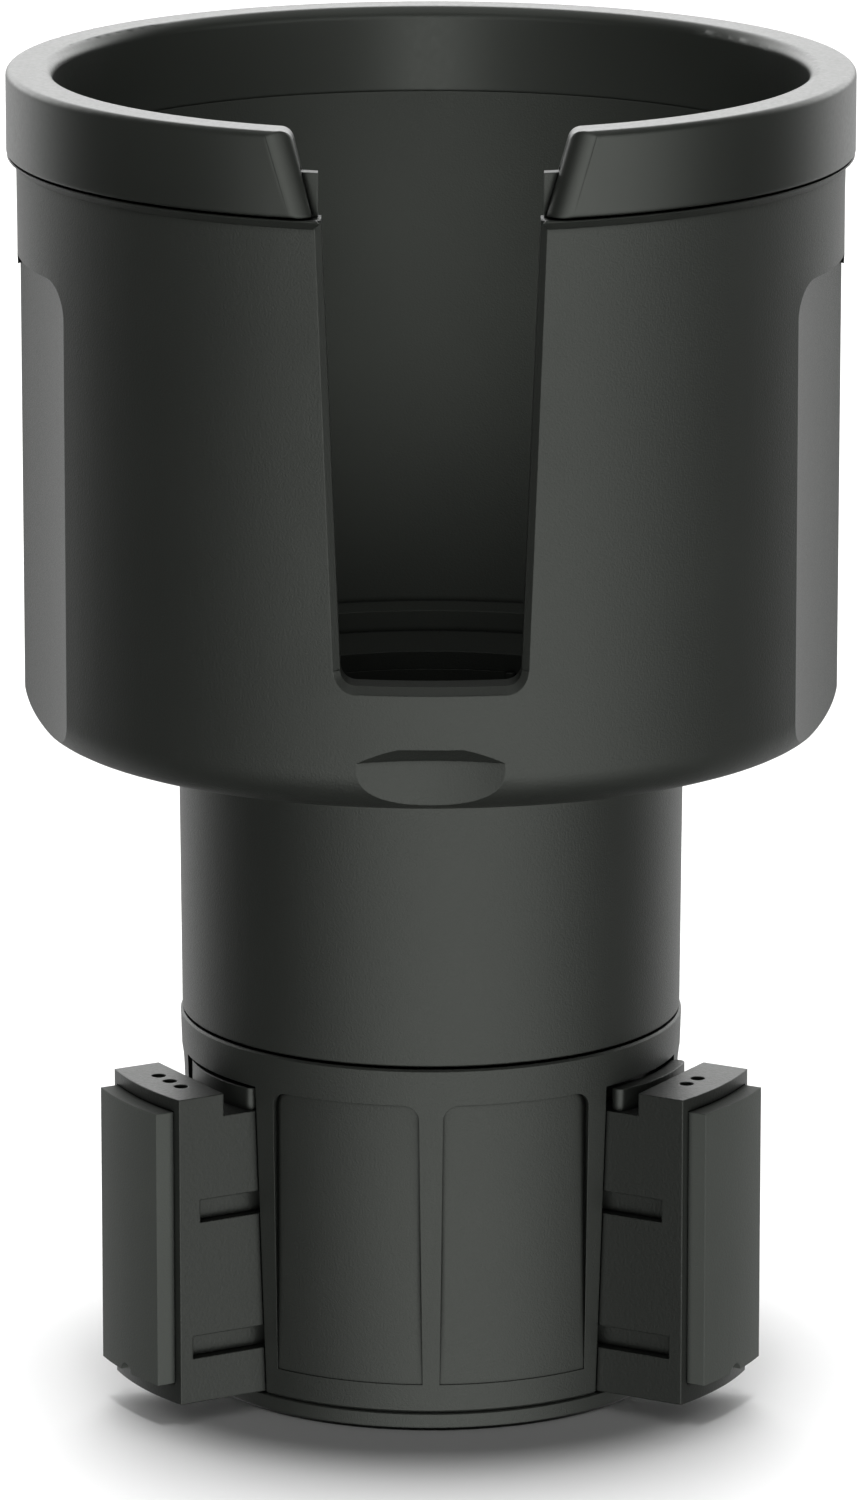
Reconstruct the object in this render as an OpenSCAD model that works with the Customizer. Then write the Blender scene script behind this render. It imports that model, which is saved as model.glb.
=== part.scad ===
// Expanding cup holder for a car: a large cup that turns on a base with three arms.
// Turning the cup turns a flat scroll, and the scroll drives the arms out against the car's own cup well.
// Origin: centre of the base's underside. +Z is up, the handle slot faces -Y. Millimetres.
// An azimuth is counted from the front (-Y), counter-clockwise seen from above.

/* [Base] */
// Radius of the base housing at its top edge
base_top_r = 33.75; // [33:0.05:36]
// How much narrower the base is at its foot
base_taper = 1.6; // [0.5:0.05:2]
// Wall of the base housing
base_wall = 2.2; // [1.8:0.1:2.6]
// Thickness of the bottom cover
cover_t = 2.6; // [2.4:0.1:4]
// Bevel on the two edges that meet at the cover's seam
seam_bevel = 0.3; // [0.1:0.05:0.5]
// Height of the collar that surrounds the scroll plate
collar_h = 5; // [4.5:0.1:8]
// Thickness of the deck that closes the housing between the arms
deck_t = 2.2; // [1.6:0.1:4]

/* [Front panels] */
// Azimuth of a panel's middle from the middle of its third of the housing
panel_az = 20.65; // [20.3:0.05:21]
// Width of one recessed panel
panel_w = 20.6; // [18:0.1:21]
// Height of a panel's lower end above the cover
panel_low = 3.9; // [2:0.1:10]
// Distance of a panel's upper end below the housing's top
panel_drop = 5; // [4:0.1:20]
// Corner radius of a panel
panel_corner_r = 2; // [0.5:0.1:4]

/* [Arms] */
// Width of an arm
arm_w = 18.1; // [16:0.1:19]
// Height of an arm's slide, without its teeth
arm_h = 39; // [34:0.1:50]
// Radius of the arm's outer face in the photographed position
arm_out_r = 44.5; // [44:0.1:48]
// Thickness of the block at the arm's end
block_l = 7.6; // [6:0.1:7.8]
// Wall of the cored-out arm
arm_wall = 2.8; // [2.4:0.1:3]
// Thickness of the ribs across the arm's core
arm_rib = 1.6; // [1:0.1:3]
// Play between an arm and the channel that guides it, on each side
slide_gap = 0.3; // [0.2:0.05:0.4]
// Gap between neighbouring arms when they are fully in
arm_gap = 0.8; // [0.6:0.1:1.2]
// Heights of the two guide grooves above the arm's underside
groove_at = [6.1, 24.8];
// Height of a guide groove
groove_h = 3.1; // [2.4:0.1:4]
// Depth of a guide groove
groove_d = 1.6; // [0.9:0.05:1.7]
// Distance of the guide rails' outer ends inside the housing's foot
rail_inset = 2.35; // [1:0.05:6]
// Distances from the arm's outer face back to the closed ends of the two guide grooves
groove_end = [2.8, 4];
// Radius of the numbering dots on an arm
dot_r = 0.95; // [0.5:0.05:1.2]
// Depth of the numbering dots
dot_d = 0.7; // [0.3:0.1:1.2]
// Spacing of the numbering dots
dot_step = 3.1; // [2.4:0.1:4]

/* [Pads] */
// How far a pad's sides lie inside the arm's
pad_inset = 1.3; // [1.2:0.1:3]
// Distance of a pad's upper edge below the block's top
pad_drop = 1.85; // [1.6:0.05:14]
// Height of a pad's lower edge above the arm's underside
pad_low = 2.75; // [2.2:0.05:4]
// How far a pad stands out of its arm
pad_proud = 2.5; // [1.5:0.1:4]
// How deep a pad is let into its arm
pad_seat = 0.8; // [0.4:0.1:1.2]
// Radius of the notch in a pad's lower edge
pad_notch_r = 1.4; // [0.6:0.1:1.8]

/* [Scroll drive] */
// Pitch of the scroll: how far the arms travel in one turn of the cup
pitch = 5.1; // [4.9:0.05:5.3]
// Turns from the photographed position until the arms are fully in
turns_in = 2; // [1.5:0.1:2]
// Height of the teeth and of the scroll's ridge
tooth_h = 3; // [1.6:0.1:3.6]
// Thickness of a tooth on an arm
tooth_t = 2; // [1.4:0.05:2.1]
// Thickness of the scroll's ridge
ridge_t = 1.8; // [1.2:0.05:1.9]
// Radius at which the scroll's ridge starts
scroll_in_r = 8; // [7.5:0.1:9]
// Distance from the scroll plate's rim in to the outer end of the ridge's middle line
ridge_inset = 5.4; // [5.3:0.1:8]
// Distance from the block's inner face back to the place where the scroll's gap meets the first arm
tooth_back = 0.6; // [0.5:0.05:0.9]
// How far the widest teeth stay inside the arm's sides
tooth_inset = 0.55; // [0.1:0.05:1]
// Half width of a tooth as a share of its distance from the axis when the arms are in
tooth_reach = 0.4; // [0.3:0.01:0.42]
// Gap over the tips of the teeth and of the ridge
tip_gap = 0.3; // [0.2:0.05:0.5]
// Thickness of the scroll plate's floor
scroll_t = 2.2; // [1.8:0.1:3]
// Running gap around the scroll plate and under the neck
turn_gap = 0.3; // [0.2:0.05:0.4]

/* [Pivot] */
// Radius of the post in the middle of the base
post_r = 4.2; // [3.6:0.1:4.6]
// Radius of the journal on the post's upper end
journal_r = 3.2; // [2.6:0.1:3.4]
// Running clearance of the hub on the journal
journal_gap = 0.06; // [0.02:0.01:0.1]
// Radius of the hub of the scroll plate
hub_r = 6.6; // [5.6:0.1:7.2]
// Radius of the pivot washer
washer_r = 6.5; // [5:0.1:7.4]
// Thickness of the pivot washer
washer_t = 1; // [0.6:0.1:1.6]

/* [Neck] */
// Step from the base's top edge in to the neck
neck_step = 0.25; // [0.1:0.05:1]
// How much wider the neck is at its upper end
neck_taper = 0.3; // [0.1:0.05:1.5]
// Height of the neck
neck_h = 38.9; // [30:0.1:60]
// Wall of the neck
neck_wall = 2.6; // [2.2:0.1:2.9]
// Thickness of the neck's floor
neck_floor_t = 2.2; // [1.6:0.1:3]
// Length of the screw bosses inside the neck
neck_boss_h = 15; // [13:0.5:25]
// Width of the ribs inside the neck
neck_rib_w = 1; // [0.8:0.1:2]
// Depth of the ribs inside the neck
neck_rib_d = 1; // [0.6:0.1:2]

/* [Cup] */
// Height of the cup from its underside to the ledge under the rim ring
cup_h = 77.4; // [70:0.1:100]
// Outer radius of the cup below the ledge
cup_top_r = 54.7; // [54.4:0.05:55]
// How much narrower the cup is above its bottom edge
cup_taper = 0.3; // [0:0.05:0.7]
// Wall of the cup above its bottom edge
cup_wall = 4.7; // [4.4:0.05:5.4]
// Radius of the cup's rounded bottom edge
cup_edge_r = 5.8; // [4:0.1:7]
// Thickness of the cup's floor
floor_t = 2.5; // [2:0.1:3.5]
// Height of the step around the floor that a bottle stands on
step_h = 2.9; // [1.5:0.1:6]
// Width of that step
step_w = 6.2; // [4:0.1:9]
// Height of the sloping edge of the ledge
ledge_h = 1.25; // [0.8:0.05:2.5]

/* [Handle slot] */
// Width of the slot at its lower end
slot_low_w = 23.2; // [16:0.1:25]
// Width of the slot at the ledge
slot_top_w = 27.8; // [25:0.1:28.4]
// Height of the slot's sill above the cup's underside
slot_sill = 17; // [14:0.5:30]
// Corner radius of the slot
slot_corner_r = 2; // [1:0.1:4]
// Bevel around the slot's outer edge
slot_bevel = 1; // [0.5:0.1:1.4]

/* [Grips and thumb scoop] */
// How far two neighbouring side grips run into each other, half on each
grip_meet = 0.255; // [0.1:0.005:0.4]
// Width of a side grip
grip_w = 27.2; // [20:0.1:27.4]
// Depth of a side grip at its middle
grip_d = 2.3; // [1.9:0.1:2.8]
// Distance of a side grip's upper end below the ledge
grip_drop = 13.1; // [9:0.1:40]
// Corner radius of a side grip
grip_corner_r = 5; // [2:0.1:8]
// Radius of the thumb scoop seen from above
scoop_r = 30; // [20:1:40]
// Depth of the thumb scoop at its middle
scoop_d = 2.4; // [1.6:0.1:2.6]
// Height of the scoop's upright part above the cup's underside
scoop_top = 7; // [6.5:0.1:9]
// Height of the scoop's sloping roof
scoop_roof = 1.9; // [1:0.1:3]

/* [Rim ring] */
// How far the ring stands out past the cup under it
ring_overhang = 1.3; // [1.1:0.05:2.3]
// Height of the ring's top above the ledge
ring_h = 11.2; // [9:0.1:16]
// How much wider the ring's bore is than the cup's
ring_step = 0.1; // [0.05:0.05:0.3]
// Seam between the ring and the ledge
ring_seam = 0.3; // [0.15:0.05:0.5]
// Height of the tongue on the cup that carries the ring
tongue_h = 5.7; // [4:0.1:7]
// Distance from the cup's bore out to the tongue
tongue_inset = 1.3; // [1.1:0.05:1.6]
// Thickness of the tongue
tongue_t = 1.8; // [1.4:0.1:2.2]
// Play of the tongue in the ring's groove
tongue_gap = 0.15; // [0.05:0.05:0.25]
// Edge radius of the ring's top
ring_edge_r = 0.8; // [0.4:0.1:1.2]
// Edge radius of the ring's mouth
ring_lip_r = 1.5; // [0.8:0.1:2]
// Gap over the tongue inside the ring
tongue_top_gap = 0.5; // [0.2:0.1:1]
// How much wider the ring's opening is than the slot under it, on each side
ring_open_step = 0.7; // [0.6:0.1:2]
// How much further the ring's opening leans out up to its top, on each side
ring_open_lean = 3.2; // [1.4:0.1:7]
// Radius of the ring's upright end edges
ring_end_r = 2.5; // [1:0.1:3]

/* [Screws] */
// Shank radius of the floor, cover and scroll screws
screw_r = 1.25; // [1:0.05:1.4]
// Head radius of these screws
screw_head_r = 2.8; // [2.2:0.1:3]
// Head height of these screws
screw_head_h = 1.7; // [1:0.1:1.8]
// Length of the floor and cover screws under the head
screw_l = 11; // [8:0.5:12]
// Length of the scroll screws under the head
scroll_screw_l = 6; // [4.5:0.5:6.5]
// Shank radius of the pivot screw
pivot_screw_r = 1.5; // [1:0.05:1.8]
// Length of the pivot screw under its head
pivot_screw_l = 16; // [10:0.5:24]
// Clearance of a screw in its pilot hole
pilot_gap = 0.05; // [0.03:0.01:0.1]
// Clearance of a screw in a hole that it passes through
pass_gap = 0.3; // [0.2:0.05:0.5]
// Wall of a screw boss
boss_wall = 2.2; // [1.8:0.1:2.6]
// Width of the cross slot in a screw head
cross_w = 0.8; // [0.5:0.1:1]

/* [Hidden] */
$fn = 96;
eps = 0.01;
fuse = 0.5;
far = 100;

// Azimuths: arm 1 at the back, then clockwise; the housing's thirds lie between the arms.
arm_azimuths = [180, 60, -60];
third_azimuths = [0, 120, 240];
floor_screw_azimuths = [0, 120, 240];
neck_rib_azimuths = [39, 159, 279];

// Levels, from the surface up
arm_z = cover_t + slide_gap;
web_top_z = arm_z + arm_h;
tooth_top_z = web_top_z + tooth_h;
ridge_z = web_top_z + tip_gap;
plate_z = tooth_top_z + tip_gap;
window_top_z = plate_z + 0.1;
deck_z = ridge_z - turn_gap;
base_h = plate_z + collar_h;
panel_h = base_h - panel_drop - cover_t - panel_low;
neck_z = base_h + turn_gap;
neck_floor_z = neck_z + neck_floor_t;
cup_z = neck_z + neck_h;
floor_z = cup_z + floor_t;
step_z = floor_z + step_h;
slot_z = cup_z + slot_sill;
ledge_z = cup_z + cup_h;
inner_ledge_z = ledge_z - 0.4;
tongue_z = ledge_z + tongue_h;
ring_top_z = ledge_z + ring_h;

// Arms and their travel
block_in = arm_out_r - block_l;
groove_out = [for (e = groove_end) arm_out_r - e];
tooth_lead = block_in - tooth_back;
travel_in = pitch * turns_in;
arm_in_least = (arm_gap / 2 + arm_w / 2 * cos(60)) / sin(60);
arm_in = arm_in_least + travel_in;
channel_half = arm_w / 2 + slide_gap;
rail_in = channel_half * 1.25;
rail_d = groove_d - slide_gap;
pad_w = arm_w - 2 * pad_inset;
pad_h = tooth_top_z - arm_z - pad_low - pad_drop;
pad_z = arm_z + pad_low;
pad_r = arm_out_r + pad_proud;
ridge_gap = pitch / 2;

// Cup, neck and base
base_foot_r = base_top_r - base_taper;
collar_r = base_top_r - 2.75;
plate_r = collar_r - turn_gap;
scroll_out_r = plate_r - ridge_inset;
rail_out = min(base_foot_r - rail_inset, min(groove_out) - travel_in - slide_gap);
neck_low_r = base_top_r - neck_step;
neck_top_r = neck_low_r + neck_taper;
cup_low_r = cup_top_r - cup_taper;
cup_bore_r = cup_low_r - cup_wall;
step_r = cup_bore_r - step_w;
grip_top = cup_h - grip_drop;
grip_az = 90 - asin((grip_w / 2 - grip_meet) / cup_low_r);
ring_r = cup_top_r + ring_overhang;
ring_open_low = slot_top_w / 2 + ring_open_step;
ring_open_top = ring_open_low + ring_open_lean;
neck_bore_r = neck_low_r - neck_wall;
boss_r = screw_r + boss_wall;
ear_r = boss_r + 0.9;
floor_screw_at = neck_bore_r - boss_r - 0.4;
cover_screw_at = base_foot_r - base_wall - boss_r - 1.8;
scroll_screw_at = (hub_r + plate_r) / 2;
hub_bore_r = journal_r + journal_gap;
pocket_tip = (channel_half + base_wall) / sin(60);
tongue_in_r = cup_bore_r + tongue_inset;
tongue_out_r = tongue_in_r + tongue_t;
ring_bore_r = cup_bore_r + ring_step;
ring_slant = atan((ring_open_top - ring_open_low) / (ring_h - ring_seam));
head_sink = 0.3;

plastic = "#2b2c2a";
ring_plastic = "#323331";
arm_plastic = "#30312f";
rubber = "#232423";
steel = "#8d9092";

function at(r, az) = [r * sin(az), -r * cos(az)];

// Radius of the middle of the scroll's ridge at an azimuth that may pass a full turn
function ridge_radius(az) = tooth_lead + ridge_gap + pitch * (az - arm_azimuths[0]) / 360;
function ridge_azimuth(r) = arm_azimuths[0] + (r - tooth_lead - ridge_gap) * 360 / pitch;

// Distances from the axis to the teeth of arm k, outermost first
function tooth_places(k) = [
    for (j = [0 : 7])
        let (r = tooth_lead - k * pitch / 3 - j * pitch)
            if (r + tooth_t / 2 < block_in - slide_gap && r - tooth_t / 2 > arm_in + slide_gap) r
];

// Points of an arc around c, from angle a to angle b
function arc(c, r, a, b, n = 8) = [for (i = [0 : n]) c + r * [cos(a + (b - a) * i / n), sin(a + (b - a) * i / n)]];

// Outline with a straight foot at y = 0 and two rounded upper corners
function rounded_top(w, h, r) = concat(
    [[-w / 2, 0], [w / 2, 0]],
    arc([w / 2 - r, h - r], r, 0, 90),
    arc([r - w / 2, h - r], r, 90, 180)
);

module turned(azimuths) {
    for (az = azimuths) rotate([0, 0, az]) children();
}

// Extrudes an outline drawn as seen from the front, from the axis out to the front
module facing(depth) {
    rotate([90, 0, 0]) linear_extrude(depth) children();
}

// Upright cylinder between two levels
module upright(r, z0, z1) {
    translate([0, 0, z0]) cylinder(r = r, h = z1 - z0);
}

// Pan head screw that points down, with the underside of its head at z = 0
module pan_screw(shank_r, length, head_r, head_h) {
    difference() {
        union() {
            translate([0, 0, -length]) cylinder(r1 = shank_r * 0.4, r2 = shank_r, h = shank_r);
            upright(shank_r, shank_r - length, eps);
            cylinder(r1 = head_r, r2 = head_r * 0.8, h = head_h);
        }
        translate([0, 0, head_h]) cross_slot(head_r, head_h);
    }
}

module cross_slot(head_r, head_h) {
    for (a = [0, 90])
        rotate([0, 0, a]) cube([head_r * 1.1, cross_w, head_h], center = true);
}

// Section of the cup: wall, rounded bottom edge, floor, step, ledge and tongue
module cup_section() {
    edge_c = [cup_low_r - cup_edge_r, cup_z + cup_edge_r];
    difference() {
        union() {
            translate(edge_c)
                intersection() {
                    circle(r = cup_edge_r);
                    translate([-eps, -cup_edge_r]) square([cup_edge_r + eps, cup_edge_r + eps]);
                }
            polygon([
                [neck_bore_r, cup_z],
                [edge_c[0], cup_z],
                [edge_c[0], edge_c[1]],
                [cup_low_r, edge_c[1]],
                [cup_top_r, ledge_z - ledge_h],
                [ring_r - 0.1, ledge_z - 0.15],
                [ring_r - 0.25, ledge_z],
                [tongue_out_r, ledge_z],
                [tongue_out_r, tongue_z],
                [tongue_in_r, tongue_z],
                [tongue_in_r, inner_ledge_z],
                [neck_bore_r, inner_ledge_z],
            ]);
        }
        polygon([
            [neck_bore_r - 1, floor_z],
            [step_r, floor_z],
            [step_r, step_z],
            [cup_bore_r, step_z],
            [cup_bore_r, tongue_z],
            [neck_bore_r - 1, tongue_z],
        ]);
    }
}

function slot_half(z) = slot_low_w / 2 + (slot_top_w - slot_low_w) / 2 * (z - slot_z) / (ledge_z - slot_z);

// The handle slot seen from the front, widest where it cuts through the tongue
module slot_outline() {
    lean = atan((slot_top_w - slot_low_w) / 2 / (ledge_z - slot_z));
    c = [slot_low_w / 2 - slot_corner_r, slot_z + slot_corner_r];
    polygon(concat(
        arc([-c[0], c[1]], slot_corner_r, 180 + lean, 270),
        arc(c, slot_corner_r, 270, 360 - lean),
        [
            [slot_half(ledge_z), ledge_z],
            [ring_open_low - 0.3, ledge_z],
            [ring_open_low - 0.3, far * 2],
            [0.3 - ring_open_low, far * 2],
            [0.3 - ring_open_low, ledge_z],
            [-slot_half(ledge_z), ledge_z],
        ]
    ));
}

// Square bar on edge between two points, which bevels the edge that it runs along
module bevel_bar(p, q, size) {
    d = q - p;
    l = norm(d);
    translate(p)
        rotate([0, acos(d[2] / l), atan2(d[1], d[0])])
            translate([0, 0, l / 2])
                rotate([0, 0, 45])
                    cube([size * sqrt(2), size * sqrt(2), l + 2], center = true);
}

function wall_point(x, r, z) = [x, -sqrt(r * r - x * x), z];

// Bevels on the slot's two sides, its sill and its corners
module slot_bevels() {
    low_z = slot_z + slot_corner_r;
    c_half = slot_low_w / 2 - slot_corner_r;
    c_az = asin(c_half / cup_low_r);
    for (s = [-1, 1]) {
        bevel_bar(
            wall_point(s * slot_half(low_z), cup_low_r, low_z + 1),
            wall_point(s * slot_half(ledge_z), cup_top_r, ledge_z - 1),
            slot_bevel
        );
        bevel_bar(
            [s * slot_half(ledge_z), -ring_r, ledge_z],
            [s * slot_half(ledge_z), -tongue_out_r - 1.2, ledge_z],
            0.5
        );
        translate(wall_point(s * c_half, cup_low_r, low_z))
            rotate([-90, 0, s * c_az])
                translate([0, 0, -1])
                    cylinder(r1 = slot_corner_r + slot_bevel + 1, r2 = slot_corner_r, h = slot_bevel + 1);
    }
    rotate([0, 0, -90 - c_az])
        rotate_extrude(angle = 2 * c_az)
            translate([cup_low_r, slot_z])
                rotate(45)
                    square(slot_bevel * sqrt(2), center = true);
}

// Shallow upright flute with rounded upper corners, cut into the cup's side
module grip_flute() {
    chord = sqrt(cup_low_r * cup_low_r - grip_w * grip_w / 4);
    bottom = cup_low_r - grip_d;
    sag = chord - bottom;
    flute_r = (grip_w * grip_w / 4 + sag * sag) / (2 * sag);
    intersection() {
        translate([0, 0, cup_z - 1])
            facing(far) polygon(rounded_top(grip_w + 1.4, grip_top + 1, grip_corner_r));
        translate([0, -bottom - flute_r, cup_z - 2])
            cylinder(r = flute_r, h = grip_top + 4, $fn = 240);
    }
}

// Upright round cutter with a sloping roof, for the thumb scoop in the cup's front bottom edge
module thumb_scoop() {
    translate([0, scoop_d - scoop_r - cup_low_r, cup_z]) {
        upright(scoop_r, -1, scoop_top);
        translate([0, 0, scoop_top]) cylinder(r1 = scoop_r, r2 = scoop_r - scoop_roof, h = scoop_roof);
    }
}

// Ear on the cup's floor over a screw boss of the neck
module floor_ear() {
    difference() {
        translate([0, 0, cup_z])
            linear_extrude(floor_t) {
                translate([0, -floor_screw_at]) circle(r = ear_r);
                translate([-ear_r, -neck_bore_r - 1]) square([2 * ear_r, neck_bore_r + 1 - floor_screw_at]);
            }
        translate([0, -floor_screw_at, 0]) upright(screw_r + pass_gap, cup_z - 1, floor_z + 1);
    }
}

module cup_shell() {
    color(plastic) {
        difference() {
            rotate_extrude() cup_section();
            facing(far) slot_outline();
            slot_bevels();
            turned([grip_az, -grip_az, 180 - grip_az, 180 + grip_az]) grip_flute();
            thumb_scoop();
        }
        turned(floor_screw_azimuths) floor_ear();
    }
}

// Section of the ring: a cap over the cup's tongue, whose inner skirt stands on the cup's wall
module ring_section() {
    foot_z = ledge_z + ring_seam;
    lip = [ring_bore_r + ring_lip_r, ring_top_z - ring_lip_r];
    edge = [ring_r - ring_edge_r, ring_top_z - ring_edge_r];
    difference() {
        union() {
            polygon([
                [ring_bore_r, inner_ledge_z],
                [tongue_out_r, inner_ledge_z],
                [tongue_out_r, foot_z],
                [ring_r - 0.2, foot_z],
                [ring_r, foot_z + 0.2],
                [ring_r, edge[1]],
                [edge[0], edge[1]],
                [edge[0], ring_top_z],
                [lip[0], ring_top_z],
                [lip[0], lip[1]],
                [ring_bore_r, lip[1]],
            ]);
            translate(lip) circle(r = ring_lip_r);
            translate(edge) circle(r = ring_edge_r);
        }
        translate([tongue_in_r - tongue_gap, inner_ledge_z - 1])
            square([tongue_t + 2 * tongue_gap, tongue_z + tongue_top_gap - inner_ledge_z + 1]);
    }
}

// The ring's opening seen from the front, with leaning ends and round shoulders
module ring_opening() {
    r = 2;
    foot_z = ledge_z + ring_seam;
    lean = ring_slant;
    c = [ring_open_top + r * tan(45 - lean / 2), ring_top_z - r];
    polygon(concat(
        [[-ring_open_low, foot_z - 2], [ring_open_low, foot_z - 2], [ring_open_low, foot_z]],
        arc(c, r, 180 - lean, 90),
        [[c[0], far * 2], [-c[0], far * 2]],
        arc([-c[0], c[1]], r, 90, lean)
    ));
}

function ring_end_y(x) = -sqrt(pow(ring_r - ring_end_r, 2) - x * x);

// Rounds the ring's upright outer edge at one end; the cutter leans with the end face and the rim
module ring_end_round() {
    r = ring_end_r;
    rise = ring_h - ring_seam;
    x0 = ring_open_low + r;
    x1 = ring_open_top + r;
    y0 = ring_end_y(x0);
    lean_y = atan((ring_end_y(x1) - y0) / rise);
    n = norm([x0, y0]);
    translate([x0, y0, ledge_z + ring_seam])
        rotate([-lean_y, ring_slant, 0])
            translate([0, 0, -3])
                linear_extrude(rise + 6)
                    difference() {
                        polygon([[0, 0], [-r - 1, 0], [-r - 1, -r - 3], [x0 / n * (r + 2), y0 / n * (r + 2)]]);
                        circle(r = r);
                    }
}

module rim_ring() {
    color(ring_plastic)
        difference() {
            rotate_extrude() ring_section();
            facing(far) ring_opening();
            ring_end_round();
            mirror([1, 0, 0]) ring_end_round();
        }
}

module neck_tube() {
    color(plastic)
        difference() {
            union() {
                rotate_extrude()
                    polygon([
                        [hub_r + 1.4, neck_z],
                        [neck_low_r - 0.2, neck_z],
                        [neck_low_r, neck_z + 0.2],
                        [neck_top_r, cup_z],
                        [neck_bore_r, cup_z],
                        [neck_bore_r, neck_floor_z],
                        [hub_r + 1.4, neck_floor_z],
                    ]);
                turned(floor_screw_azimuths) {
                    translate([0, -floor_screw_at, 0]) upright(boss_r, cup_z - neck_boss_h, cup_z);
                    translate([-1, -neck_bore_r - 0.5, cup_z - neck_boss_h])
                        cube([2, neck_bore_r - floor_screw_at, neck_boss_h]);
                }
                turned(neck_rib_azimuths)
                    translate([-neck_rib_w / 2, -neck_bore_r - 0.5, neck_floor_z - eps])
                        cube([neck_rib_w, 0.5 + neck_rib_d, cup_z - neck_floor_z]);
            }
            turned(floor_screw_azimuths)
                translate([0, -floor_screw_at, 0])
                    upright(screw_r + pilot_gap, cup_z - neck_boss_h + 1.5, cup_z + 1);
            turned(third_azimuths)
                translate([0, -scroll_screw_at, 0]) upright(screw_r + pass_gap, neck_z - 1, neck_floor_z + 1);
        }
}

// The scroll: one ridge whose radius grows by the pitch in each turn
module scroll_ridge() {
    steps_per_turn = 36;
    az0 = ridge_azimuth(scroll_in_r);
    az1 = ridge_azimuth(scroll_out_r);
    n = ceil((az1 - az0) / 360 * steps_per_turn);
    azimuths = [for (i = [0 : n]) az0 + (az1 - az0) * i / n];
    polygon(concat(
        [for (az = azimuths) at(ridge_radius(az) - ridge_t / 2, az)],
        [for (i = [n : -1 : 0]) at(ridge_radius(azimuths[i]) + ridge_t / 2, azimuths[i])]
    ));
}

module scroll_plate() {
    rim_w = 2;
    color(arm_plastic)
        difference() {
            union() {
                translate([0, 0, ridge_z]) linear_extrude(tooth_h + fuse) scroll_ridge();
                upright(plate_r, plate_z, neck_z);
            }
            difference() {
                upright(plate_r - rim_w, plate_z + scroll_t, neck_z + 1);
                upright(hub_r, plate_z, neck_z + 2);
                turned(third_azimuths) translate([0, -scroll_screw_at, 0]) upright(boss_r, plate_z, neck_z + 2);
                for (az = [60 : 60 : 360])
                    rotate([0, 0, az + 30])
                        translate([hub_r - 1, -0.75, plate_z]) cube([plate_r - hub_r - 0.2, 1.5, collar_h]);
            }
            upright(hub_bore_r, ridge_z - 1, neck_z + 1);
            turned(third_azimuths)
                translate([0, -scroll_screw_at, 0])
                    upright(screw_r + pilot_gap, neck_floor_z - scroll_screw_l - 0.5, neck_z + 1);
        }
}

module neck_screw(k) {
    color(steel)
        rotate([0, 0, floor_screw_azimuths[k]])
            translate([0, -floor_screw_at, floor_z])
                pan_screw(screw_r, screw_l, screw_head_r, screw_head_h);
}

module scroll_screw(k) {
    color(steel)
        rotate([0, 0, third_azimuths[k]])
            translate([0, -scroll_screw_at, neck_floor_z])
                pan_screw(screw_r, scroll_screw_l, screw_head_r, screw_head_h);
}

module cover_screw(k) {
    color(steel)
        rotate([0, 0, third_azimuths[k]])
            translate([0, -cover_screw_at, head_sink + screw_head_h])
                mirror([0, 0, 1])
                    difference() {
                        union() {
                            upright(screw_r, -screw_l + screw_r, eps);
                            translate([0, 0, -screw_l]) cylinder(r1 = screw_r * 0.4, r2 = screw_r, h = screw_r);
                            cylinder(r1 = screw_r, r2 = screw_head_r, h = screw_head_h);
                        }
                        translate([0, 0, screw_head_h]) cross_slot(screw_head_r, screw_head_h);
                    }
}

module pivot_washer() {
    z = neck_z + turn_gap;
    color(steel)
        difference() {
            upright(washer_r, z, z + washer_t);
            upright(pivot_screw_r + pass_gap, z - 1, z + washer_t + 1);
        }
}

module pivot_screw() {
    color(steel)
        translate([0, 0, neck_z + turn_gap + washer_t])
            pan_screw(pivot_screw_r, pivot_screw_l, screw_head_r + 0.6, screw_head_h + 0.5);
}

// Outline of the pocket in one third of the housing
module pocket_outline() {
    reach = far;
    intersection() {
        circle(r = base_foot_r - base_wall);
        polygon([
            [0, -pocket_tip],
            [reach * sin(60), -pocket_tip - reach * cos(60)],
            [-reach * sin(60), -pocket_tip - reach * cos(60)],
        ]);
    }
}

// Rails on both sides of one arm's channel
module channel_rails() {
    for (s = [-1, 1], g = groove_at)
        translate([s * channel_half - (s > 0 ? rail_d : 0.5), -rail_out, arm_z + g + slide_gap])
            cube([rail_d + 0.5, rail_out - rail_in, groove_h - 2 * slide_gap]);
}

// A shallow panel whose upright face meets the housing's slope at its lower end
module panel_recess() {
    difference() {
        translate([0, 0, cover_t + panel_low])
            facing(far) polygon(rounded_top(panel_w, panel_h, panel_corner_r));
        upright(base_foot_r, 0, far);
    }
}

module base_housing() {
    color(plastic)
        difference() {
            union() {
                difference() {
                    rotate_extrude()
                        polygon([
                            [0, cover_t],
                            [base_foot_r - seam_bevel, cover_t],
                            [base_foot_r, cover_t + seam_bevel],
                            [base_top_r, base_h - 0.3],
                            [base_top_r - 0.3, base_h],
                            [collar_r, base_h],
                            [collar_r, deck_z],
                            [0, deck_z],
                        ]);
                    turned(arm_azimuths)
                        translate([-channel_half, -far, 0]) cube([2 * channel_half, far, window_top_z]);
                    turned(third_azimuths) {
                        difference() {
                            translate([0, 0, cover_t - 1])
                                linear_extrude(deck_z - deck_t - cover_t + 1) pocket_outline();
                            translate([0, -cover_screw_at, 0]) upright(boss_r, 0, deck_z);
                        }
                    }
                    turned([for (t = third_azimuths, s = [-1, 1]) t + s * panel_az]) panel_recess();
                }
                turned(arm_azimuths) channel_rails();
            }
            turned(third_azimuths)
                translate([0, -cover_screw_at, 0])
                    upright(screw_r + pilot_gap, cover_t - 1, head_sink + screw_head_h + screw_l + 1.5);
        }
}

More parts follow.
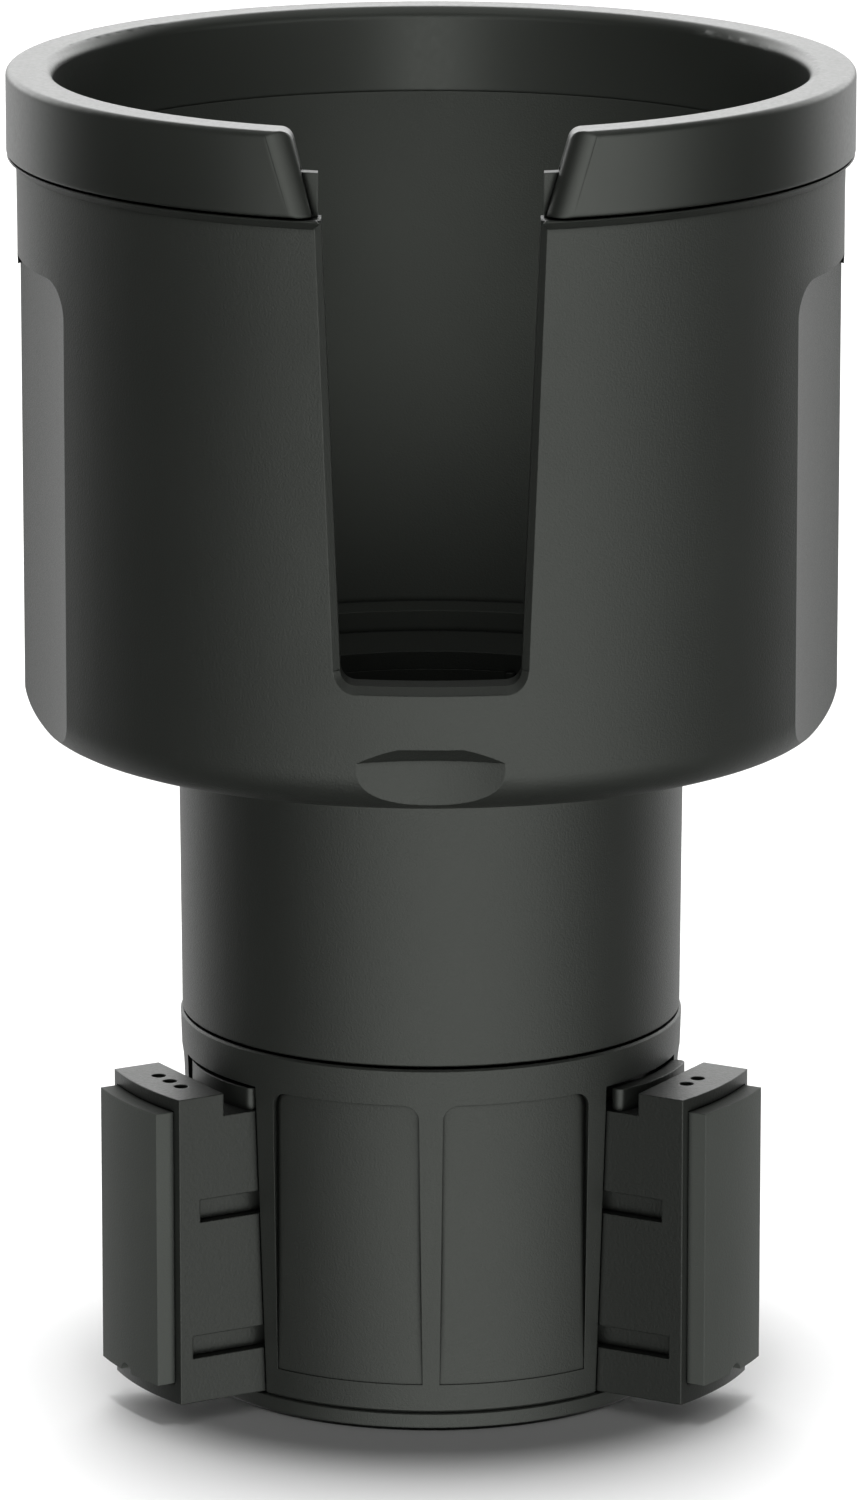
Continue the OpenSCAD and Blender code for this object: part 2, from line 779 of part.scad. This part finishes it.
module bottom_cover() {
    color(plastic)
        difference() {
            union() {
                rotate_extrude()
                    polygon([
                        [0, 0],
                        [base_foot_r - 0.6, 0],
                        [base_foot_r - 0.1, 0.5],
                        [base_foot_r - 0.1, cover_t - seam_bevel],
                        [base_foot_r - 0.1 - seam_bevel, cover_t],
                        [0, cover_t],
                    ]);
                upright(post_r, cover_t - eps, plate_z - turn_gap);
                upright(journal_r, plate_z - turn_gap - eps, neck_z + turn_gap);
            }
            upright(pivot_screw_r + pilot_gap, neck_z + turn_gap + washer_t - pivot_screw_l - 1, neck_z + far);
            turned(third_azimuths)
                translate([0, -cover_screw_at, 0]) {
                    upright(screw_r + pass_gap, -1, cover_t + 1);
                    translate([0, 0, head_sink])
                        cylinder(r1 = screw_head_r + pass_gap, r2 = screw_r + pass_gap, h = screw_head_h);
                    upright(screw_head_r + pass_gap, -1, head_sink + eps);
                }
        }
}

// One tooth seen from above: an arc with round ends that follows the scroll where this tooth meets it
module tooth_outline(r) {
    r_in = r - travel_in;
    r_out = min(r + pitch / 2, scroll_out_r + 0.8);
    rho = 2 / (1 / r_in + 1 / max(r_in, r_out));
    half = min(arm_w / 2 - tooth_inset, tooth_reach * r_in) - tooth_t / 2;
    end = asin(half / rho);
    reach = (rho + tooth_t) / cos(end);
    lead = atan(pitch / (2 * PI * rho));
    translate([0, -r]) rotate(-lead) translate([0, rho]) {
        difference() {
            circle(r = rho + tooth_t / 2);
            circle(r = rho - tooth_t / 2);
            polygon([
                [0, 0],
                at(reach, end),
                [2 * far, -reach],
                [2 * far, 2 * far],
                [-2 * far, 2 * far],
                [-2 * far, -reach],
                at(reach, -end),
            ]);
        }
        for (s = [-1, 1]) translate(at(rho, s * end)) circle(r = tooth_t / 2);
    }
}

// Plan of an arm up to its curved outer face
module arm_plan() {
    intersection() {
        translate([-arm_w / 2, -far]) square([arm_w, far - arm_in]);
        circle(r = arm_out_r);
    }
}

// The arm is cored from below, with ribs across the core
module arm_core() {
    x_half = arm_w / 2 - arm_wall;
    core_out = arm_out_r - pad_seat - 3;
    core_in = arm_in + arm_wall;
    cells = 3;
    cell_l = (core_out - core_in - arm_rib * (cells - 1)) / cells;
    for (i = [0 : cells - 1])
        translate([-x_half, -core_in - (i + 1) * cell_l - i * arm_rib, arm_z - 1])
            cube([2 * x_half, cell_l, arm_h - arm_wall + 1]);
}

module pad_plan(clear) {
    intersection() {
        translate([-pad_w / 2 - clear, -far]) square([pad_w + 2 * clear, far]);
        difference() {
            circle(r = pad_r);
            circle(r = arm_out_r - pad_seat);
        }
    }
}

module arm(k) {
    color(arm_plastic)
        rotate([0, 0, arm_azimuths[k]])
            difference() {
                union() {
                    translate([0, 0, arm_z]) linear_extrude(arm_h) arm_plan();
                    translate([0, 0, web_top_z - fuse])
                        linear_extrude(tooth_h + fuse)
                            intersection() {
                                arm_plan();
                                translate([-far / 2, -far - block_in]) square([far, far]);
                            }
                    translate([0, 0, web_top_z - fuse])
                        linear_extrude(tooth_h + fuse)
                            for (r = tooth_places(k)) tooth_outline(r);
                }
                for (s = [-1, 1], i = [0, 1])
                    translate([s * arm_w / 2 - groove_d, -groove_out[i], arm_z + groove_at[i]])
                        cube([2 * groove_d, groove_out[i], groove_h]);
                arm_core();
                translate([0, 0, pad_z - tongue_gap])
                    linear_extrude(pad_h + 2 * tongue_gap) pad_plan(tongue_gap);
                for (i = [0 : k])
                    translate([(i - k / 2) * dot_step, -(block_in + arm_out_r) / 2 + 0.65, tooth_top_z - dot_d])
                        cylinder(r = dot_r, h = dot_d + 1);
            }
}

module pad(k) {
    color(rubber)
        rotate([0, 0, arm_azimuths[k]])
            difference() {
                translate([0, 0, pad_z]) linear_extrude(pad_h) pad_plan(0);
                translate([0, -arm_in, pad_z - 0.3])
                    rotate([90, 0, 0]) cylinder(r = pad_notch_r, h = far);
            }
}

cup_shell();
rim_ring();
neck_tube();
scroll_plate();
neck_screw(0);  // neck_screw_1
neck_screw(1);  // neck_screw_2
neck_screw(2);  // neck_screw_3
scroll_screw(0);  // scroll_screw_1
scroll_screw(1);  // scroll_screw_2
scroll_screw(2);  // scroll_screw_3
base_housing();
bottom_cover();
cover_screw(0);  // cover_screw_1
cover_screw(1);  // cover_screw_2
cover_screw(2);  // cover_screw_3
pivot_screw();
pivot_washer();
arm(0);  // arm_1
arm(1);  // arm_2
arm(2);  // arm_3
pad(0);  // pad_1
pad(1);  // pad_2
pad(2);  // pad_3
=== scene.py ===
import math

import bpy
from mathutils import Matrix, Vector


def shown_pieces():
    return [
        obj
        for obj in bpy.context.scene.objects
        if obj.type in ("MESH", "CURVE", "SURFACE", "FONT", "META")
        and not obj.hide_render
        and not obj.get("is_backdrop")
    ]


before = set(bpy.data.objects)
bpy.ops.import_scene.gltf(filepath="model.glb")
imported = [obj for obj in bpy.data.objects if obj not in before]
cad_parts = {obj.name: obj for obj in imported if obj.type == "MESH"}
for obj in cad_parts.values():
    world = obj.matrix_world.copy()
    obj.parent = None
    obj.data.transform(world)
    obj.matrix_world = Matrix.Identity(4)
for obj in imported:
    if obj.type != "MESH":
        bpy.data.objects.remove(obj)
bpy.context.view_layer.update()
scene = bpy.context.scene

# Lengths are in metres and angles in degrees

# Plastics: colour, roughness, depth and fineness of the grain, radius over which the edges' shading is softened
BLACK = (0.0200, 0.0218, 0.0193)
PLASTICS = {
    "cup_plastic": (BLACK, 0.46, 0.3, 3600, 0.0002),
    "base_plastic": (BLACK, 0.46, 0.3, 3600, 0.00012),
    "ring_plastic": ((0.0180, 0.0196, 0.0174), 0.34, 0.0, 1800, 0.0006),
    "arm_plastic": ((0.0140, 0.0153, 0.0136), 0.44, 0.2, 2200, 0.00025),
    "pad_rubber": ((0.060, 0.065, 0.059), 0.62, 0.25, 3400, 0.00025),
}
PLASTIC_IOR = 1.5
SPECULAR_TINT = (0.95, 1, 0.93, 1)
GLOSS = 0.5
TONE_SPREAD = 0.1
TONE_SCALE = 55
ROUGH_SPREAD = 0.03
GRAIN_BAND = (0.3, 0.7)
GRAIN_DEPTH = 0.0002
# Painted shade in narrow creases: how far it reaches, the band over which it fades, and the gloss and colour share
# left in the deepest creases
CREASE_REACH = 0.0008
CREASE_BAND = (0.45, 0.95)
CREASE_GLOSS = 0.04
CREASE_PAINTED_SHADE = 0.1
SHADING_SAMPLES = 6

STEEL_COLOR = (0.45, 0.46, 0.47, 1)
STEEL_ROUGH = (0.25, 0.42)
STEEL_SCALE = 900

# The material of each node, or of all nodes with that start; the rest are screws and a washer of steel
LOOKS = {
    "cup_shell": "cup_plastic",
    "neck_tube": "cup_plastic",
    "rim_ring": "ring_plastic",
    "base_housing": "base_plastic",
    "bottom_cover": "base_plastic",
    "scroll_plate": "arm_plastic",
    "arm": "arm_plastic",
    "pad": "pad_rubber",
}

FLOOR_SIZE = 12
FLOOR_COLOR = (0.9, 0.9, 0.9, 1)

# Brightness of the studio's parts, how far its front light stands to the right, and how far its zenith leans back
FRONT_LIGHT = 2.4
FRONT_TURN = 12
SIDE_GLOW = 0.02
BACKDROP = 1.15
BACK_DIP = 0.4
SKYLINE = 2.2
CEILING = 0.3
CEILING_GLOW = 0.03
ZENITH = 0.3
ZENITH_LEAN = 14

# Where each of them starts and ends to rise: by height, or by how far a direction points to it
FRONT_BAND = (0.3, 1.0)
FRONT_TOP = (0.0, 0.3)
FLOOR_BAND = (-0.85, -0.4)
BACK_BAND = (0.3, 0.8)
BACK_DIP_BAND = (0.85, 1.0)
SKYLINE_BAND = (-0.02, 0.2)
CEILING_BAND = (0.3, 0.75)
ZENITH_BAND = (0.87, 0.985)

# A narrow soft light from the front and above, into the cup's mouth
BEAM_SIZE = (0.085, 0.05)
BEAM_SPREAD = 5
BEAM_ENERGY = 0.022
BEAM_FROM = (0, -0.78, 0.79)
BEAM_TO = (0, 0.004, 0.178)

# Suns for the floor alone, from above and from behind, shape the shadow on it. A wide dim one for the object alone
# lets its upper faces be read from above. Name, what it lights, strength, angular size, tilt to the back and side:
SUNS = (
    ("floor_top", "floor_only", 2.6, 17, 0, 0),
    ("floor_back_left", "floor_only", 0.8, 40, 50, -12),
    ("floor_back_right", "floor_only", 0.8, 40, 50, 12),
    ("object_top", "object_only", 0.6, 90, 0, 0),
)

CAMERA_AT = (0, -1.1895, 0.3707)
CAMERA_TILT = 76.51
CAMERA_LENS = 219.1
CAMERA_SENSOR = 36
CAMERA_CLIP = (0.05, 30)


def tree_of(owner):
    owner.use_nodes = True
    return owner.node_tree


def fill(tree, node, inputs):
    """Set each input to a plain value or link it to another node's output."""
    for key, value in inputs.items():
        if isinstance(value, bpy.types.NodeSocket):
            tree.links.new(value, node.inputs[key])
        else:
            node.inputs[key].default_value = value


def add(tree, kind, inputs, **settings):
    node = tree.nodes.new("ShaderNode" + kind)
    for key, value in settings.items():
        setattr(node, key, value)
    fill(tree, node, inputs)
    return node.outputs


def ramp(tree, value, start, end, low, high, **settings):
    inputs = {"Value": value, "From Min": start, "From Max": end, "To Min": low, "To Max": high}
    return add(tree, "MapRange", inputs, **settings)["Result"]


def noise(tree, scale, **more):
    place = add(tree, "TexCoord", {})["Object"]
    return add(tree, "TexNoise", {"Vector": place, "Scale": scale, **more})["Fac"]


def mix(tree, factor, a, b):
    return add(tree, "Mix", {"Factor": factor, "A": a, "B": b}, data_type="RGBA")["Result"]


def plastic(name, color, rough, grain, grain_scale, edge_r):
    m = bpy.data.materials.new(name)
    tree = tree_of(m)
    fine = noise(tree, grain_scale, Detail=3, Roughness=0.6)
    broad = noise(tree, TONE_SCALE, Detail=2)
    pale, deep = ([c * share for c in color] + [1] for share in (1 + TONE_SPREAD, 1 - TONE_SPREAD))
    tone = mix(tree, broad, deep, pale)

    # Painted shade: narrow creases between and inside the parts are darkened in the base colour and their gloss is
    # lowered, by how little the light reaches them
    open_share = add(tree, "AmbientOcclusion", {"Distance": CREASE_REACH}, samples=SHADING_SAMPLES)["AO"]
    crease_shaded_gloss = ramp(tree, open_share, *CREASE_BAND, CREASE_GLOSS, GLOSS)
    painted_shade = ramp(tree, open_share, *CREASE_BAND, CREASE_PAINTED_SHADE, 1)

    normal = add(tree, "Bevel", {"Radius": edge_r}, samples=SHADING_SAMPLES)["Normal"]
    if grain:
        bump = {"Normal": normal, "Strength": grain, "Distance": GRAIN_DEPTH, "Height": fine}
        normal = add(tree, "Bump", bump)["Normal"]

    fill(tree, tree.nodes["Principled BSDF"], {
        # The base colour carries painted shade in the creases, and the specular level a painted dip of gloss there
        "Base Color": mix(tree, painted_shade, (0, 0, 0, 1), tone),
        "Roughness": ramp(tree, fine, *GRAIN_BAND, rough - ROUGH_SPREAD, rough + ROUGH_SPREAD),
        "IOR": PLASTIC_IOR,
        "Specular IOR Level": crease_shaded_gloss,
        "Specular Tint": SPECULAR_TINT,
        "Normal": normal,
    })
    return m


def metal(name):
    m = bpy.data.materials.new(name)
    tree = tree_of(m)
    fill(tree, tree.nodes["Principled BSDF"], {
        "Metallic": 1,
        "Base Color": STEEL_COLOR,
        "Roughness": ramp(tree, noise(tree, STEEL_SCALE), 0, 1, *STEEL_ROUGH),
    })
    return m


def studio_light(tree):
    """Brightness by direction: a soft light in front, a pale backdrop, a dim ceiling and zenith, dark in between."""
    def calc(operation, *values):
        return add(tree, "Math", dict(enumerate(values)), operation=operation)[0]

    def rise(value, band, top=1):
        return ramp(tree, value, *band, 0, top, interpolation_type="SMOOTHSTEP")

    x, y, z = add(tree, "SeparateXYZ", {"Vector": add(tree, "TexCoord", {})["Generated"]})
    across = calc("SQRT", calc("ADD", calc("MULTIPLY", x, x), calc("MULTIPLY", y, y)))
    across = calc("MAXIMUM", across, 0.001)
    ahead = calc("DIVIDE", calc("MULTIPLY", y, -1), across)
    behind = calc("MULTIPLY", ahead, -1)
    turn, lean = math.radians(FRONT_TURN), math.radians(ZENITH_LEAN)
    to_front = calc("ADD", calc("MULTIPLY", x, math.sin(turn)), calc("MULTIPLY", y, -math.cos(turn)))
    to_front = calc("DIVIDE", to_front, across)
    to_zenith = calc("ADD", calc("MULTIPLY", y, math.sin(lean)), calc("MULTIPLY", z, math.cos(lean)))

    above = rise(z, CEILING_BAND)
    over_floor = rise(z, FLOOR_BAND)
    low = calc("MULTIPLY", over_floor, calc("SUBTRACT", 1, rise(z, FRONT_TOP)))
    high = calc("MULTIPLY", over_floor, calc("SUBTRACT", 1, above))

    front = calc("MULTIPLY", calc("ADD", rise(to_front, FRONT_BAND, FRONT_LIGHT), SIDE_GLOW), low)
    wings = calc("SUBTRACT", rise(behind, BACK_BAND, BACKDROP), rise(behind, BACK_DIP_BAND, BACK_DIP))
    skyline = calc("MULTIPLY", rise(behind, BACK_BAND), rise(z, SKYLINE_BAND, SKYLINE))
    back = calc("MULTIPLY", calc("ADD", wings, skyline), high)
    ceiling = calc("MULTIPLY", above, calc("ADD", rise(ahead, FRONT_BAND, CEILING), CEILING_GLOW))
    zenith = rise(to_zenith, ZENITH_BAND, ZENITH)
    return calc("ADD", calc("ADD", calc("ADD", front, back), ceiling), zenith)


def place(name, data, at=(0, 0, 0), turn=(0, 0, 0)):
    ob = bpy.data.objects.new(name, data)
    scene.collection.objects.link(ob)
    ob.location = at
    ob.rotation_euler = turn
    return ob


materials = {name: plastic(name, *look) for name, look in PLASTICS.items()}
steel = metal("screw_steel")
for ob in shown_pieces():
    look = LOOKS.get(ob.name, LOOKS.get(ob.name.split("_")[0]))
    ob.data.materials.clear()
    ob.data.materials.append(materials.get(look, steel))

bpy.ops.mesh.primitive_plane_add(size=FLOOR_SIZE, location=(0, 0, 0))
floor = bpy.context.object
floor.name = "floor"
white = bpy.data.materials.new("floor_white")
white_tree = tree_of(white)
fill(white_tree, white_tree.nodes["Principled BSDF"],
     {"Base Color": FLOOR_COLOR, "Roughness": 1, "Specular IOR Level": 0})
floor.data.materials.append(white)
floor.visible_glossy = False
floor.visible_diffuse = False
floor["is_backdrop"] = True

scene.world = bpy.data.worlds.new("studio")
sky = tree_of(scene.world)
fill(sky, sky.nodes["Background"], {"Color": (1, 1, 1, 1), "Strength": studio_light(sky)})

beam_data = bpy.data.lights.new("mouth_beam", "AREA")
beam_data.shape = "ELLIPSE"
beam_data.size, beam_data.size_y = BEAM_SIZE
beam_data.spread = math.radians(BEAM_SPREAD)
beam_data.energy = BEAM_ENERGY
aim = (Vector(BEAM_TO) - Vector(BEAM_FROM)).to_track_quat("-Z", "Y").to_euler()
place("mouth_beam", beam_data, BEAM_FROM, aim).visible_glossy = False

lit = {}
for group, members in (("floor_only", [floor]), ("object_only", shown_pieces())):
    lit[group] = bpy.data.collections.new(group)
    for ob in members:
        lit[group].objects.link(ob)
for name, group, strength, size, back_tilt, side_tilt in SUNS:
    sun = bpy.data.lights.new(name, "SUN")
    sun.energy = strength
    sun.angle = math.radians(size)
    lamp = place(name, sun, turn=(math.radians(-back_tilt), math.radians(side_tilt), 0))
    lamp.light_linking.receiver_collection = lit[group]

# Camera at the photo's angle
lens = bpy.data.cameras.new("camera")
lens.sensor_width = CAMERA_SENSOR
lens.lens = CAMERA_LENS
lens.clip_start, lens.clip_end = CAMERA_CLIP
scene.camera = place("camera", lens, CAMERA_AT, (math.radians(CAMERA_TILT), 0, 0))

scene.view_settings.view_transform = "Standard"
